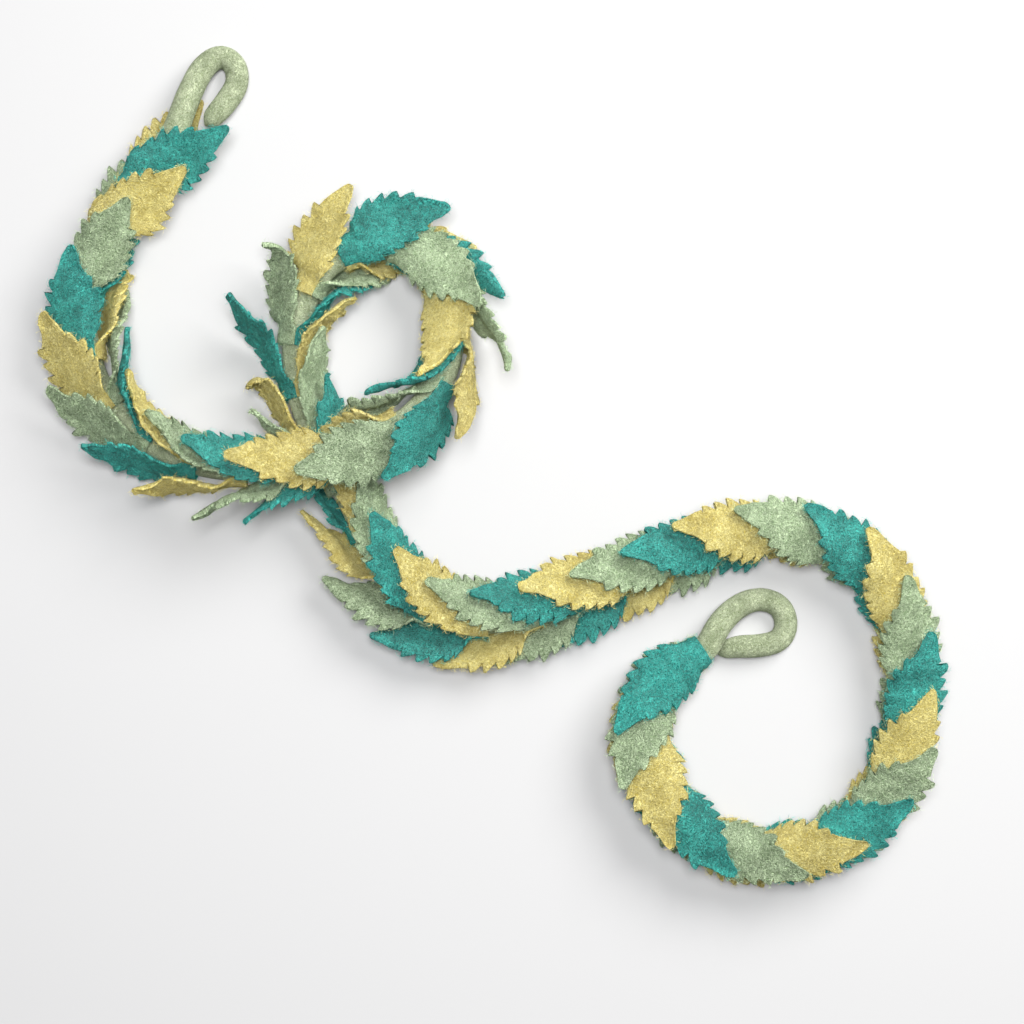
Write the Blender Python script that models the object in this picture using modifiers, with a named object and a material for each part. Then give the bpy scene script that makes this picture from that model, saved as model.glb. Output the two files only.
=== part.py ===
"""Felt leaf garland: pairs of toothed felt leaves shingled along a felt rope that ends in two loops.

The garland lies on the surface z = 0. Metres, +Z up. Leaf tips point from loop B (lower right)
to loop A (upper left). Each station of the rope carries one leaf pair: two leaves, one on each
side of the rope, joined in a collar that goes round it.
"""

import math

import bpy
import numpy as np
from mathutils import Matrix, Vector
from mathutils.geometry import delaunay_2d_cdt

MM = 0.001

# Moves the drawing's zero to the middle of the garland's bounding box: x, y in millimetres
TO_MIDDLE = (3.478, -0.228)

# Rope
ROPE_RADIUS = 8.9
ROPE_SIDES = 10
ROPE_RING_SPACING = 70.0
ROPE_RING_BEND = math.radians(14.0)
ROPE_RING_RISE = 0.15
AXIS_HEIGHT = 20.0

# Leaves
STATIONS = 45
FIRST_ROOT = 2.0
LAST_ROOT_FROM_END = 70.0
ROOT_SHIFTS = (
    (0, 1.0), (1, -5.0), (3, -5.0), (4, 0.0), (6, 4.0), (8, -2.0), (12, -2.0), (14, 5.0), (18, 5.0),
    (21, 3.0), (28, -2.0), (30, -4.0), (33, 0.0), (35, 7.0), (38, 3.0), (41, 1.0), (42, 5.0), (43, 11.0), (44, 18.0),
)
LEAF_LENGTH = 82.0
FELT = 1.8
TEETH = 5
TOOTH_DEPTH = 3.0
COLLAR_LENGTH = 8.0
COLLAR_RADIUS = 11.6
COLLAR_OPENS_AT = 20.0
SWINGS_BY = 34.0
LEAST_COLLAR_SPAN = math.radians(128.0)
SHINGLE_SLOPE = 0.129
ARCH_DEPTH = 9.6
ARCH_WIDTH = 17.0

# Where the rows lean together, their edges close over the rope: by what share, and from what lean
EDGES_CLOSE = 0.28
ROWS_LEAN_BY = math.radians(50.0)

# Share of the rope's bend that a leaf resists, and share of it that its tip follows sideways
STIFFNESS = 0.5
FOLLOW = 0.1

# Rope's line under a leaf, unrolled: how far, share of the bend in the leaf's plane that it keeps, and
# limits on its stretch where the rope bends
UNROLLED_LENGTH = 190.0
IN_PLANE_SHARE = 0.6
LEAST_STRETCH = 0.5
MOST_STRETCH = 1.6

# Contact with the surface
FLAT_TIP = 11.0
LYING_SLOPE = 0.1
LIES_FLAT_BELOW = 0.7
SPREADS = 0.35

# Crossing, where the strand from loop B runs under the one that goes to loop A
CROSSING = (-114.0, 7.0)
CROSSING_FLAT_RADIUS = 54.0
CROSSING_REACH = 118.0
CROSSING_SQUEEZE = 0.26
CROSSING_NARROWS = 0.06
CROSSING_LIFT = 36.8
LAST_STATION_UNDER = 28

# The rope's route from loop B to loop A, seen from above: columns x, y in millimetres
ROUTE = (
    (143, -126), (117, -145), (104, -174), (107, -207), (124, -240), (151, -260),
    (186, -267), (220, -262), (250, -243), (270, -212), (280, -177), (281, -139),
    (272, -100), (250, -70), (218, -52), (185, -47), (148, -53), (108, -66),
    (66, -84), (27, -100), (-11, -108), (-50, -98), (-81, -68), (-101, -33),
    (-117, 0), (-135, 33), (-143, 68), (-139, 103), (-125, 133), (-99, 149),
    (-67, 149), (-44, 127), (-34, 91), (-41, 58), (-64, 30), (-99, 12),
    (-137, 2), (-179, -3), (-221, 5), (-256, 26), (-279, 57), (-288, 91),
    (-286, 126), (-275, 158), (-258, 187), (-239, 212), (-225, 231),
)

# How the leaf rows lie: columns station, turn of row 1, turn of row 2, swing of row 1, swing of row 2,
# in degrees. A turn of 0 faces up and one of 90 faces to the right of the way to loop A. A swing
# turns the tips sideways in the leaf's own plane, on top of the rope's bend.
LIE = (
    (0, 0, 180, 3, 0), (2, 0, 180, -1, 0), (4, -2, 180, -5, 0), (7, -5, 180, 0, 0),
    (10, -4, 180, 3, 0), (13, 0, 180, -1, 5), (16, 10, 185, 0, 13), (18, 25, 195, 8, 14),
    (19, 30, 200, 13, 15), (20, 34, 205, 15, 15), (21, 28, 208, 8, 14), (22, 24, 214, 4, 12),
    (23, 36, 236, 0, 8), (24, 47, 264, 0, 0), (25, 45, 290, 0, 0), (26, 44, 306, 0, -8),
    (27, 52, 306, -3, -14), (28, 75, 324, 1, -16), (29, 112, 342, 2, -14), (30, 154, 356, 0, 4),
    (31, 206, 363, 0, 2), (32, 260, 378, 0, 0), (33, 308, 412, -8, -3), (34, 334, 450, 0, 0),
    (35, 352, 505, 0, 0), (36, 376, 570, 0, 4), (37, 390, 632, 0, 2), (38, 398, 660, 0, -4),
    (39, 406, 675, 0, -6), (40, 423, 689, 0, -4), (41, 444, 702, 0, 2), (42, 474, 711, 0, 12),
    (43, 510, 720, 0, 22), (44, 545, 724, 0, 22),
)

# Leaves whose tips curl off the row: columns station, row, distance from the root at which the curl
# starts, and its angle in degrees
CURLED = (
    (22, 2, 52, 30), (23, 2, 50, 100), (24, 2, 48, 40), (25, 2, 56, 220), (26, 2, 20, 60),
    (27, 2, 56, 150), (31, 1, 24, 35), (32, 1, 24, 30), (35, 2, 48, 40), (36, 2, 48, 55), (37, 2, 50, 60),
    (38, 2, 50, 40), (39, 2, 52, 25),
)

# End loops: columns x, y, z in millimetres and share of the rope's radius
LOOP_GAP = 0.3
STRAIGHT_END = 4.0
LOOP_B = (
    (152, -110, 17.0, 0.98), (166, -98, 9.0, 0.94), (181, -93.5, 6.1, 0.9), (194.5, -98.5, 6.1, 0.9),
    (199, -111, 6.1, 0.9), (194, -122, 6.1, 0.9), (179, -126, 6.1, 0.9), (166, -126.5, 6.2, 0.88),
    (157, -128.5, 5.2, 0.72), (150, -131, 4.0, 0.5),
)
LOOP_A = (
    (-216, 257, 16.5, 0.98), (-207, 277, 8.6, 0.94), (-195, 285, 6.1, 0.9), (-185.5, 278.5, 6.1, 0.9),
    (-184, 266, 7.2, 0.9), (-190, 254, 11.0, 0.9), (-198, 244, 12.2, 0.84), (-206, 236, 10.4, 0.6),
)

COLOURS = {
    "teal": (0.03, 0.28, 0.27, 1.0),
    "mustard": (0.62, 0.50, 0.16, 1.0),
    "sage": (0.32, 0.43, 0.25, 1.0),
    "rope": (0.30, 0.42, 0.25, 1.0),
}
ROW_COLOURS = {1: ("teal", "sage", "mustard"), 2: ("sage", "mustard", "teal")}


def smooth(x):
    x = np.clip(x, 0.0, 1.0)
    return x * x * (3.0 - 2.0 * x)


class Rope:
    """A smooth curve through the route, with places, directions and leaf-row frames along it."""

    def __init__(self, route, spacing=1.0):
        line = smooth_line(route, 40)
        along = self.lengths(line)
        count = int(along[-1] / spacing) + 1
        even = np.linspace(0.0, along[-1], count)
        line = np.stack([np.interp(even, along, line[:, k]) for k in range(2)], axis=1)
        kernel = np.hanning(25)
        kernel /= kernel.sum()
        padded = np.vstack([np.repeat(line[:1], 12, 0), line, np.repeat(line[-1:], 12, 0)])
        soft = np.stack([np.convolve(padded[:, k], kernel, "valid") for k in range(2)], axis=1)
        soft[0], soft[-1] = line[0], line[-1]
        self.s = self.lengths(soft)
        self.xy = soft
        self.length = self.s[-1]
        way = np.gradient(soft, self.s, axis=0)
        self.way = way / np.linalg.norm(way, axis=1)[:, None]

    @staticmethod
    def lengths(line):
        return np.concatenate([[0.0], np.cumsum(np.linalg.norm(np.diff(line, axis=0), axis=1))])

    def centre(self, s):
        """Places on the rope; past either end the rope is taken as straight."""
        s = np.asarray(s, float)
        inside = np.clip(s, 0.0, self.length)
        xy = np.stack([np.interp(inside, self.s, self.xy[:, k]) for k in range(2)], axis=-1)
        xy = xy + (s - inside)[..., None] * self.direction(s)[..., :2]
        return np.concatenate([xy, np.full(xy.shape[:-1] + (1,), AXIS_HEIGHT)], axis=-1)

    def direction(self, s):
        inside = np.clip(s, 0.0, self.length)
        way = np.stack([np.interp(inside, self.s, self.way[:, k]) for k in range(2)], axis=-1)
        way = way / np.linalg.norm(way, axis=-1)[..., None]
        return np.concatenate([way, np.zeros(way.shape[:-1] + (1,))], axis=-1)


def root_places(rope):
    """Distance along the rope of every leaf pair's root."""
    even = np.linspace(FIRST_ROOT, rope.length - LAST_ROOT_FROM_END, STATIONS)
    shifts = np.array(ROOT_SHIFTS)
    return even + np.interp(np.arange(STATIONS), shifts[:, 0], shifts[:, 1])


def lie(rope, s):
    """Turns and swings of both rows, in radians, at a distance along the rope."""
    station = np.interp(s, root_places(rope), np.arange(STATIONS))
    table = np.array(LIE, float)
    fine = np.arange(0.0, STATIONS - 1 + 0.01, 0.1)
    kernel = np.hanning(15)
    kernel /= kernel.sum()
    columns = []
    for values in table[:, 1:].T:
        values = np.interp(fine, table[:, 0], values)
        padded = np.concatenate([np.full(7, values[0]), values, np.full(7, values[-1])])
        columns.append(np.radians(np.interp(station, fine, np.convolve(padded, kernel, "valid"))))
    return columns


def stand_off(rope, row, root, s):
    """How far a stiff leaf stands off the rope where the rope bends away from under it.

    It adds up the bend between the leaf's root and s, so that a leaf always lies further out
    than the next one.
    """
    inside = rope.s
    turn = lie(rope, inside)[row - 1]
    heading = np.unwrap(np.arctan2(rope.way[:, 1], rope.way[:, 0]))
    bend = np.maximum(0.0, np.gradient(heading, inside) * np.sin(turn)) * np.gradient(inside)
    total, moment = np.cumsum(bend), np.cumsum(bend * inside)
    at_s, at_root = (np.interp(x, inside, total) for x in (s, root))
    moment_s, moment_root = (np.interp(x, inside, moment) for x in (s, root))
    return STIFFNESS * np.maximum(0.0, s * (at_s - at_root) - moment_s + moment_root)


def frame(rope, s, turn):
    """Sideways and outward directions of a leaf row."""
    way = rope.direction(s)
    up = np.zeros_like(way)
    up[..., 2] = 1.0
    right = np.cross(way, up)
    turn = np.asarray(turn)[..., None]
    outward = np.cos(turn) * up + np.sin(turn) * right
    return np.cross(way, outward), outward


def near_crossing(xy):
    far = np.linalg.norm(xy - np.array(CROSSING), axis=-1)
    return 1.0 - smooth((far - CROSSING_FLAT_RADIUS) / (CROSSING_REACH - CROSSING_FLAT_RADIUS))


def cross_over(points, station):
    """Presses the strand that runs under the crossing and lifts the one that runs over it."""
    points = points.copy()
    near = near_crossing(points[:, :2])
    points[:, 2] *= 1.0 - CROSSING_SQUEEZE * near
    if station > LAST_STATION_UNDER:
        points[:, 2] += CROSSING_LIFT * near
    return points


def leaf_half_width(u):
    """Half the width of a flat leaf, without its teeth, at a distance from its root."""
    stops = (0.0, COLLAR_LENGTH, 18.0, 28.0, 39.0, 50.0, 59.0, 66.0, 74.0, 80.0, LEAF_LENGTH)
    halves = (16.5, 16.5, 18.6, 20.6, 20.6, 17.6, 12.8, 8.6, 5.4, 2.9, 0.0)
    return float(np.interp(u, stops, halves))


def leaf_outline():
    """One side of the flat leaf from root to tip: distance from the root, half width."""
    start, end = 25.0, 61.0
    step = (end - start) / TEETH
    side = [(COLLAR_LENGTH, leaf_half_width(COLLAR_LENGTH)), (17.0, leaf_half_width(17.0))]
    for i in range(TEETH):
        tip = start + (i + 0.95) * step
        side.append((tip, leaf_half_width(tip) + 0.45 * TOOTH_DEPTH + 0.6))
        side.append((tip + 0.4, leaf_half_width(tip) - 0.55 * TOOTH_DEPTH))
    side.append((74.0, leaf_half_width(74.0)))
    side.append((80.8, 2.2))
    return side


def leaf_patch():
    """The flat leaf as points (distance from the root, sideways) and triangles."""
    side = leaf_outline()
    half = leaf_half_width(0.0)
    base = [(0.0, half * k / 2) for k in range(-2, 3)]
    right = [(u, w) for u, w in side]
    left = [(u, -w) for u, w in reversed(side)]
    outline = base + right + left
    inner = [(COLLAR_LENGTH, half * k / 2) for k in (-1, 0, 1)]
    for u in (22.0, 40.0):
        inner += [(u, -11.0), (u, 0.0), (u, 11.0)]
    inner.append((55.0, 0.0))
    points = [Vector(p) for p in outline + inner]
    rim = [(i, (i + 1) % len(outline)) for i in range(len(outline))]
    flat, _, faces, _, _, _ = delaunay_2d_cdt(points, rim, [], 1, 1e-6)
    return np.array([tuple(p) for p in flat]), [tuple(f) for f in faces]


def unroll(rope, root, row):
    """The rope's line under one leaf, unrolled into the leaf's own plane.

    A leaf follows the rope's bend out of its plane, but only gives way to a share of the bend in its
    plane. The columns are: distance along the rope, distance along the leaf, heading in the plane,
    and place x, y.
    """
    s = np.arange(root - 30.0, root + UNROLLED_LENGTH, 1.0)
    way = rope.direction(s)
    heading = np.unwrap(np.arctan2(way[:, 1], way[:, 0]))
    bend = np.gradient(heading, s)
    turn = lie(rope, s)[row - 1]
    out = COLLAR_RADIUS + SHINGLE_SLOPE * np.maximum(0.0, s - root) + stand_off(rope, row, root, s)
    stretch = np.clip(1.0 + out * bend * np.sin(turn), LEAST_STRETCH, MOST_STRETCH)
    stretch = np.hypot(stretch, np.gradient(out, s))
    at_root = int(np.abs(s - root).argmin())
    along = np.cumsum(stretch)
    along -= along[at_root]
    angle = np.cumsum(-IN_PLANE_SHARE * bend * np.cos(turn))
    angle -= angle[at_root]
    place = np.stack([np.cumsum(stretch * np.cos(angle)), np.cumsum(stretch * np.sin(angle))], axis=1)
    place -= place[at_root]
    return s, along, angle, place


def on_unrolled(line, laid):
    """Distance along the rope and distance sideways of points laid in the leaf's plane."""
    s, along, angle, place = line
    at = laid[:, 0].copy()
    for _ in range(20):
        heading = np.interp(at, along, angle)
        off = laid - np.stack([np.interp(at, along, place[:, k]) for k in range(2)], axis=1)
        at = at + 0.7 * np.clip(off[:, 0] * np.cos(heading) + off[:, 1] * np.sin(heading), -6.0, 6.0)
    sideways = off[:, 1] * np.cos(heading) - off[:, 0] * np.sin(heading)
    return np.interp(at, along, s), sideways


def curl(station, row, u):
    """How far a curled tip stays back along the row and rises off it, at a distance from the root."""
    back, rise = np.zeros(u.shape), np.zeros(u.shape)
    for at, which, start, degrees in CURLED:
        if (at, which) == (station, row):
            length = np.maximum(0.0, u - start)
            angle = math.radians(degrees) * length / (LEAF_LENGTH - start)
            radius = (LEAF_LENGTH - start) / math.radians(degrees)
            back = length - radius * np.sin(angle)
            rise = radius * (1.0 - np.cos(angle))
    return back, rise


def drape(rope, station, row, flat):
    """Lays a flat leaf on the rope: points of its middle surface in millimetres."""
    root = root_places(rope)[station]
    u, v = flat[:, 0], flat[:, 1]
    mine, other = (0, 1) if row == 1 else (1, 0)
    at_root = lie(rope, root)
    line = unroll(rope, root, row)
    bend = np.interp(LEAF_LENGTH, line[1], line[2])
    swing = at_root[mine + 2] + FOLLOW * bend / 2
    held = 1.0 - smooth((u - COLLAR_LENGTH) / (COLLAR_OPENS_AT - COLLAR_LENGTH))
    angle = swing * smooth((u - COLLAR_LENGTH) / (SWINGS_BY - COLLAR_LENGTH))
    laid = np.stack([u * np.cos(angle) - v * np.sin(angle), u * np.sin(angle) + v * np.cos(angle)], axis=1)
    s, a = on_unrolled(line, laid)
    columns = lie(rope, s)
    turn, facing = columns[mine], columns[other]
    gap = np.mod(facing - turn, 2.0 * math.pi)
    gap = np.where(a < 0, 2.0 * math.pi - gap, gap)
    wedge = np.abs(a) * np.maximum(0.0, 1.0 / np.tan(np.clip(gap / 2, 0.5, 1.6)))
    arch = ARCH_DEPTH * (1.0 - np.exp(-(a / ARCH_WIDTH) ** 2))
    b = COLLAR_RADIUS + SHINGLE_SLOPE * (s - root) + stand_off(rope, row, root, s) - arch
    leaning = smooth((math.pi - gap) / ROWS_LEAN_BY) * smooth(np.abs(a) / ARCH_WIDTH)
    b = b * (1.0 - EDGES_CLOSE * leaning) + wedge
    back, rise = curl(station, row, u)
    b = b + rise
    apart = np.mod(at_root[other] - at_root[mine], 2.0 * math.pi)
    span = np.clip(apart, LEAST_COLLAR_SPAN, 2.0 * math.pi - LEAST_COLLAR_SPAN)
    collar_turn = at_root[mine] + (apart - span) / 2
    span = np.where(v < 0, 2.0 * math.pi - span, span) / 2
    theta = span * v / leaf_half_width(0.0)
    a = held * COLLAR_RADIUS * np.sin(theta) + (1.0 - held) * a
    b = held * COLLAR_RADIUS * np.cos(theta) + (1.0 - held) * b
    s = held * (root + u) + (1.0 - held) * s
    turn = held * collar_turn + (1.0 - held) * turn
    sideways, outward = frame(rope, s, turn)
    points = rope.centre(s) + a[:, None] * sideways + b[:, None] * outward
    points -= back[:, None] * rope.direction(s)
    lowest = LYING_SLOPE * np.maximum(0.0, LEAF_LENGTH - FLAT_TIP - (s - root)) + FELT / 2
    short = (1.0 - held) * np.maximum(0.0, lowest - points[:, 2])
    points[:, :2] += SPREADS * short[:, None] * outward[:, :2]
    points[:, 2] += short
    return cross_over(points, station)


def add_object(name, mesh, materials, collection):
    obj = bpy.data.objects.new(name, mesh)
    for material in materials:
        mesh.materials.append(material)
    collection.objects.link(obj)
    return obj


def evaluated_mesh(obj):
    bpy.context.view_layer.update()
    return bpy.data.meshes.new_from_object(obj.evaluated_get(bpy.context.evaluated_depsgraph_get()))


def rest_on_surface(mesh):
    """Makes what is within a hair of the surface lie flat on it."""
    for vertex in mesh.vertices:
        if vertex.co.z < LIES_FLAT_BELOW * MM:
            vertex.co.z = 0.0


def leaf_pair(rope, station, patch, materials, collection):
    flat, faces = patch
    points, triangles, slots = [], [], []
    for row in (1, 2):
        start = len(points)
        points += list(drape(rope, station, row, flat) * MM)
        triangles += [tuple(start + i for i in f) for f in faces]
        slots += [row - 1] * len(faces)
    mesh = bpy.data.meshes.new("leaf_pair")
    mesh.from_pydata(points, [], triangles)
    name = f"leaf_pair_{station:02d}"
    colours = [materials[ROW_COLOURS[row][station % 3]] for row in (1, 2)]
    obj = add_object(name, mesh, colours, collection)
    mesh.polygons.foreach_set("material_index", slots)
    weld = obj.modifiers.new("Join roots", "WELD")
    weld.merge_threshold = 0.00005
    thick = obj.modifiers.new("Felt", "SOLIDIFY")
    thick.thickness = FELT * MM
    thick.offset = 0.0
    solid = evaluated_mesh(obj)
    obj.modifiers.clear()
    obj.data = solid
    bpy.data.meshes.remove(mesh)
    solid.name = name
    rest_on_surface(solid)
    return obj


def smooth_line(points, parts):
    """A curve through rows of numbers, with so many parts between each two rows."""
    p = np.array(points, float)
    p = np.vstack([2 * p[0] - p[1], p, 2 * p[-1] - p[-2]])
    line = []
    for a, b, c, d in zip(p[:-3], p[1:-2], p[2:-1], p[3:]):
        for t in np.linspace(0.0, 1.0, parts, endpoint=False):
            line.append(0.5 * (2 * b + (c - a) * t + (2 * a - 5 * b + 4 * c - d) * t ** 2
                               + (3 * b - a - 3 * c + d) * t ** 3))
    line.append(p[-2])
    return np.array(line)


def tube(name, points, shares, material, collection):
    """A round rope through points, as a mesh with welded caps."""
    curve = bpy.data.curves.new(name, "CURVE")
    curve.dimensions = "3D"
    curve.bevel_depth = ROPE_RADIUS * MM
    curve.bevel_resolution = (ROPE_SIDES - 4) // 2
    curve.use_fill_caps = True
    spline = curve.splines.new("POLY")
    spline.points.add(len(points) - 1)
    for slot, p, share in zip(spline.points, points, shares):
        slot.co = (*(np.array(p) * MM), 1.0)
        slot.radius = share
    guide = add_object(name + "_curve", curve, [], collection)
    mesh = evaluated_mesh(guide)
    bpy.data.objects.remove(guide)
    obj = add_object(name, mesh, [material], collection)
    weld = obj.modifiers.new("Close caps", "WELD")
    weld.merge_threshold = 0.00002
    return obj


def end_loop(name, rope, end, table, material, collection):
    """The rope's end turned back into an eye; its tail thins out where it is sewn in."""
    way = rope.direction(end) * (1.0 if end > 0.0 else -1.0)
    start = rope.centre(end) + LOOP_GAP * way
    line = smooth_line([(*(start + STRAIGHT_END * way), 1.0)] + list(table), 2)
    line = np.vstack([[*start, 1.0], line])
    obj = tube(name, line[:, :3], line[:, 3], material, collection)
    for vertex in obj.data.vertices:
        vertex.co.z = max(vertex.co.z, 0.0)
    return obj


def rope_core(rope, material, collection):
    heading = np.unwrap(np.arctan2(rope.way[:, 1], rope.way[:, 0]))
    need = rope.s / ROPE_RING_SPACING
    need[1:] += np.cumsum(np.abs(np.diff(heading))) / ROPE_RING_BEND
    need[1:] += np.cumsum(np.abs(np.diff(near_crossing(rope.xy)))) / ROPE_RING_RISE
    s = np.interp(np.linspace(0.0, need[-1], int(need[-1]) + 2), need, rope.s)
    s = np.sort([*s, STRAIGHT_END, rope.length - STRAIGHT_END])
    centre = rope.centre(s)
    shares = 1.0 - CROSSING_NARROWS * near_crossing(centre[:, :2])
    obj = tube("rope_core", centre, shares, material, collection)
    roots = root_places(rope)
    for vertex in obj.data.vertices:
        ring = vertex.index // ROPE_SIDES
        if ring < len(s):
            station = int(np.abs(roots - s[ring]).argmin())
            vertex.co = cross_over(np.array([vertex.co]) / MM, station)[0] * MM
    return obj


def main():
    for obj in list(bpy.data.objects):
        bpy.data.objects.remove(obj)
    collection = bpy.data.collections.new("felt_leaf_garland")
    bpy.context.scene.collection.children.link(collection)
    materials = {}
    for name, colour in COLOURS.items():
        material = bpy.data.materials.new(name + "_felt")
        material.use_nodes = True
        shader = material.node_tree.nodes["Principled BSDF"]
        shader.inputs["Base Color"].default_value = colour
        shader.inputs["Roughness"].default_value = 0.95
        shader.inputs["Metallic"].default_value = 0.0
        materials[name] = material
    rope = Rope(ROUTE)
    rope_core(rope, materials["rope"], collection)
    end_loop("loop_b", rope, 0.0, LOOP_B, materials["rope"], collection)
    end_loop("loop_a", rope, rope.length, LOOP_A, materials["rope"], collection)
    patch = leaf_patch()
    for station in range(STATIONS):
        leaf_pair(rope, station, patch, materials, collection)
    to_middle = Matrix.Translation((TO_MIDDLE[0] * MM, TO_MIDDLE[1] * MM, 0.0))
    for obj in collection.objects:
        obj.data.transform(to_middle)


main()
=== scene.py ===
"""Felt leaf garland: toothed felt leaves shingled along a felted rope with a loop at each end."""

import math

import bpy
import numpy as np
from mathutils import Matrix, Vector


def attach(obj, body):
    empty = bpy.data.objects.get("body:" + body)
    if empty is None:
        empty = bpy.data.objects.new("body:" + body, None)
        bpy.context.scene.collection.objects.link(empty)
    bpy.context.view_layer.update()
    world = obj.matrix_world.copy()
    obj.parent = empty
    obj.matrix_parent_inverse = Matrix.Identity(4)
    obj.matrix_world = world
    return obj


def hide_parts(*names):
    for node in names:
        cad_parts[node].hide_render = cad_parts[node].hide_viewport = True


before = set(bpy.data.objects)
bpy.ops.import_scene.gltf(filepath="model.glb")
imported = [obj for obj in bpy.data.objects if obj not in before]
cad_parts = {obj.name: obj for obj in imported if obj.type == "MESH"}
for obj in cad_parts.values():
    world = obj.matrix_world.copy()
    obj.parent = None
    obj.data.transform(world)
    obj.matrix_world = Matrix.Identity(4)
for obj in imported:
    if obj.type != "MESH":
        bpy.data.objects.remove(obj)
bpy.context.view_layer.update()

MM = 0.001
TINY = 1e-9

# Moves the drawing's zero to the middle of the garland's bounding box: x, y in millimetres
TO_MIDDLE = (3.478, -0.228)

# Rope
ROPE_RADIUS = 8.9
ROPE_SIDES = 24
AXIS_HEIGHT = 20.0

# How finely the rope's route is drawn and the table of turns is read, and half the width of the
# running mean that softens each
ROUTE_PARTS = 40
LIE_STEP = 0.1
ROUTE_SOFTENED = 12
LIE_SOFTENED = 7

# Leaves, and shifts of their roots along the rope: columns station and shift
STATIONS = 45
FIRST_ROOT = 2.0
LAST_ROOT_FROM_END = 70.0
ROOT_SHIFTS = (
    (0, 1.0), (1, -5.0), (3, -5.0), (4, 0.0), (6, 4.0), (8, -2.0), (12, -2.0), (14, 5.0), (18, 5.0),
    (21, 3.0), (28, -2.0), (30, -4.0), (33, 0.0), (35, 7.0), (38, 3.0), (41, 1.0), (42, 5.0),
    (43, 11.0), (44, 18.0),
)
LEAF_LENGTH = 82.0
FELT = 1.8
COLLAR_LENGTH = 8.0
COLLAR_RADIUS = 11.6
COLLAR_OPENS_AT = 20.0
SWINGS_BY = 34.0
LEAST_COLLAR_SPAN = math.radians(128.0)
SHINGLE_SLOPE = 0.129
ARCH_DEPTH = 9.6
ARCH_WIDTH = 17.0

# Where the rows lean together, their edges close over the rope: by what share, and from what lean
EDGES_CLOSE = 0.28
ROWS_LEAN_BY = math.radians(50.0)

# Share of the rope's bend that a leaf resists, and share of it that its tip follows sideways
STIFFNESS = 0.5
FOLLOW = 0.1

# Rope's line under a leaf, unrolled: how far back and on from the root, share of the bend in the leaf's
# plane that it keeps, and limits on its stretch where the rope bends
UNROLLED_BACK = 30.0
UNROLLED_LENGTH = 190.0
IN_PLANE_SHARE = 0.6
LEAST_STRETCH = 0.5
MOST_STRETCH = 1.6

# Search for a leaf's point on the unrolled line: rounds, share of the way in each, and longest step
SEARCH_ROUNDS = 20
SEARCH_PACE = 0.7
SEARCH_STEP = 6.0

# Half the angle between the rows, in radians, at which their wedge is widest and is gone
WEDGE_WIDEST = 0.5
WEDGE_GONE = 1.6

# Contact with the surface
FLAT_TIP = 11.0
LYING_SLOPE = 0.1
SPREADS = 0.35

# Crossing, where the strand from loop B runs under the one that goes to loop A
CROSSING = (-114.0, 7.0)
CROSSING_FLAT_RADIUS = 54.0
CROSSING_REACH = 118.0
CROSSING_SQUEEZE = 0.26
CROSSING_NARROWS = 0.06
CROSSING_LIFT = 36.8
LAST_STATION_UNDER = 28

# The rope's route from loop B to loop A, seen from above: columns x, y in millimetres
ROUTE = (
    (143, -126), (117, -145), (104, -174), (107, -207), (124, -240), (151, -260),
    (186, -267), (220, -262), (250, -243), (270, -212), (280, -177), (281, -139),
    (272, -100), (250, -70), (218, -52), (185, -47), (148, -53), (108, -66),
    (66, -84), (27, -100), (-11, -108), (-50, -98), (-81, -68), (-101, -33),
    (-117, 0), (-135, 33), (-143, 68), (-139, 103), (-125, 133), (-99, 149),
    (-67, 149), (-44, 127), (-34, 91), (-41, 58), (-64, 30), (-99, 12),
    (-137, 2), (-179, -3), (-221, 5), (-256, 26), (-279, 57), (-288, 91),
    (-286, 126), (-275, 158), (-258, 187), (-239, 212), (-225, 231),
)

# How the leaf rows lie: columns station, turn of row 1, turn of row 2, swing of row 1, swing of row 2,
# in degrees. A turn of 0 faces up and one of 90 faces to the right of the way to loop A. A swing
# turns the tips sideways in the leaf's own plane, on top of the rope's bend.
LIE = (
    (0, 0, 180, 3, 0), (2, 0, 180, -1, 0), (4, -2, 180, -5, 0), (7, -5, 180, 0, 0),
    (10, -4, 180, 3, 0), (13, 0, 180, -1, 5), (16, 10, 185, 0, 13), (18, 25, 195, 8, 14),
    (19, 30, 200, 13, 15), (20, 34, 205, 15, 15), (21, 28, 208, 8, 14), (22, 24, 214, 4, 12),
    (23, 36, 236, 0, 8), (24, 47, 264, 0, 0), (25, 45, 290, 0, 0), (26, 44, 306, 0, -8),
    (27, 52, 306, -3, -14), (28, 75, 324, 1, -16), (29, 112, 342, 2, -14), (30, 154, 356, 0, 4),
    (31, 206, 363, 0, 2), (32, 260, 378, 0, 0), (33, 308, 412, -8, -3), (34, 334, 450, 0, 0),
    (35, 352, 505, 0, 0), (36, 376, 570, 0, 4), (37, 390, 632, 0, 2), (38, 398, 660, 0, -4),
    (39, 406, 675, 0, -6), (40, 423, 689, 0, -4), (41, 444, 702, 0, 2), (42, 474, 711, 0, 12),
    (43, 510, 720, 0, 22), (44, 545, 724, 0, 22),
)

# Leaves whose tips curl off the row: columns station, row, distance from the root at which the curl
# starts, and its angle in degrees
CURLED = (
    (22, 2, 52, 30), (23, 2, 50, 100), (24, 2, 48, 40), (25, 2, 56, 220), (26, 2, 20, 60),
    (27, 2, 56, 150), (31, 1, 24, 35), (32, 1, 24, 30), (35, 2, 48, 40), (36, 2, 48, 55),
    (37, 2, 50, 60), (38, 2, 50, 40), (39, 2, 52, 25),
)

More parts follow.
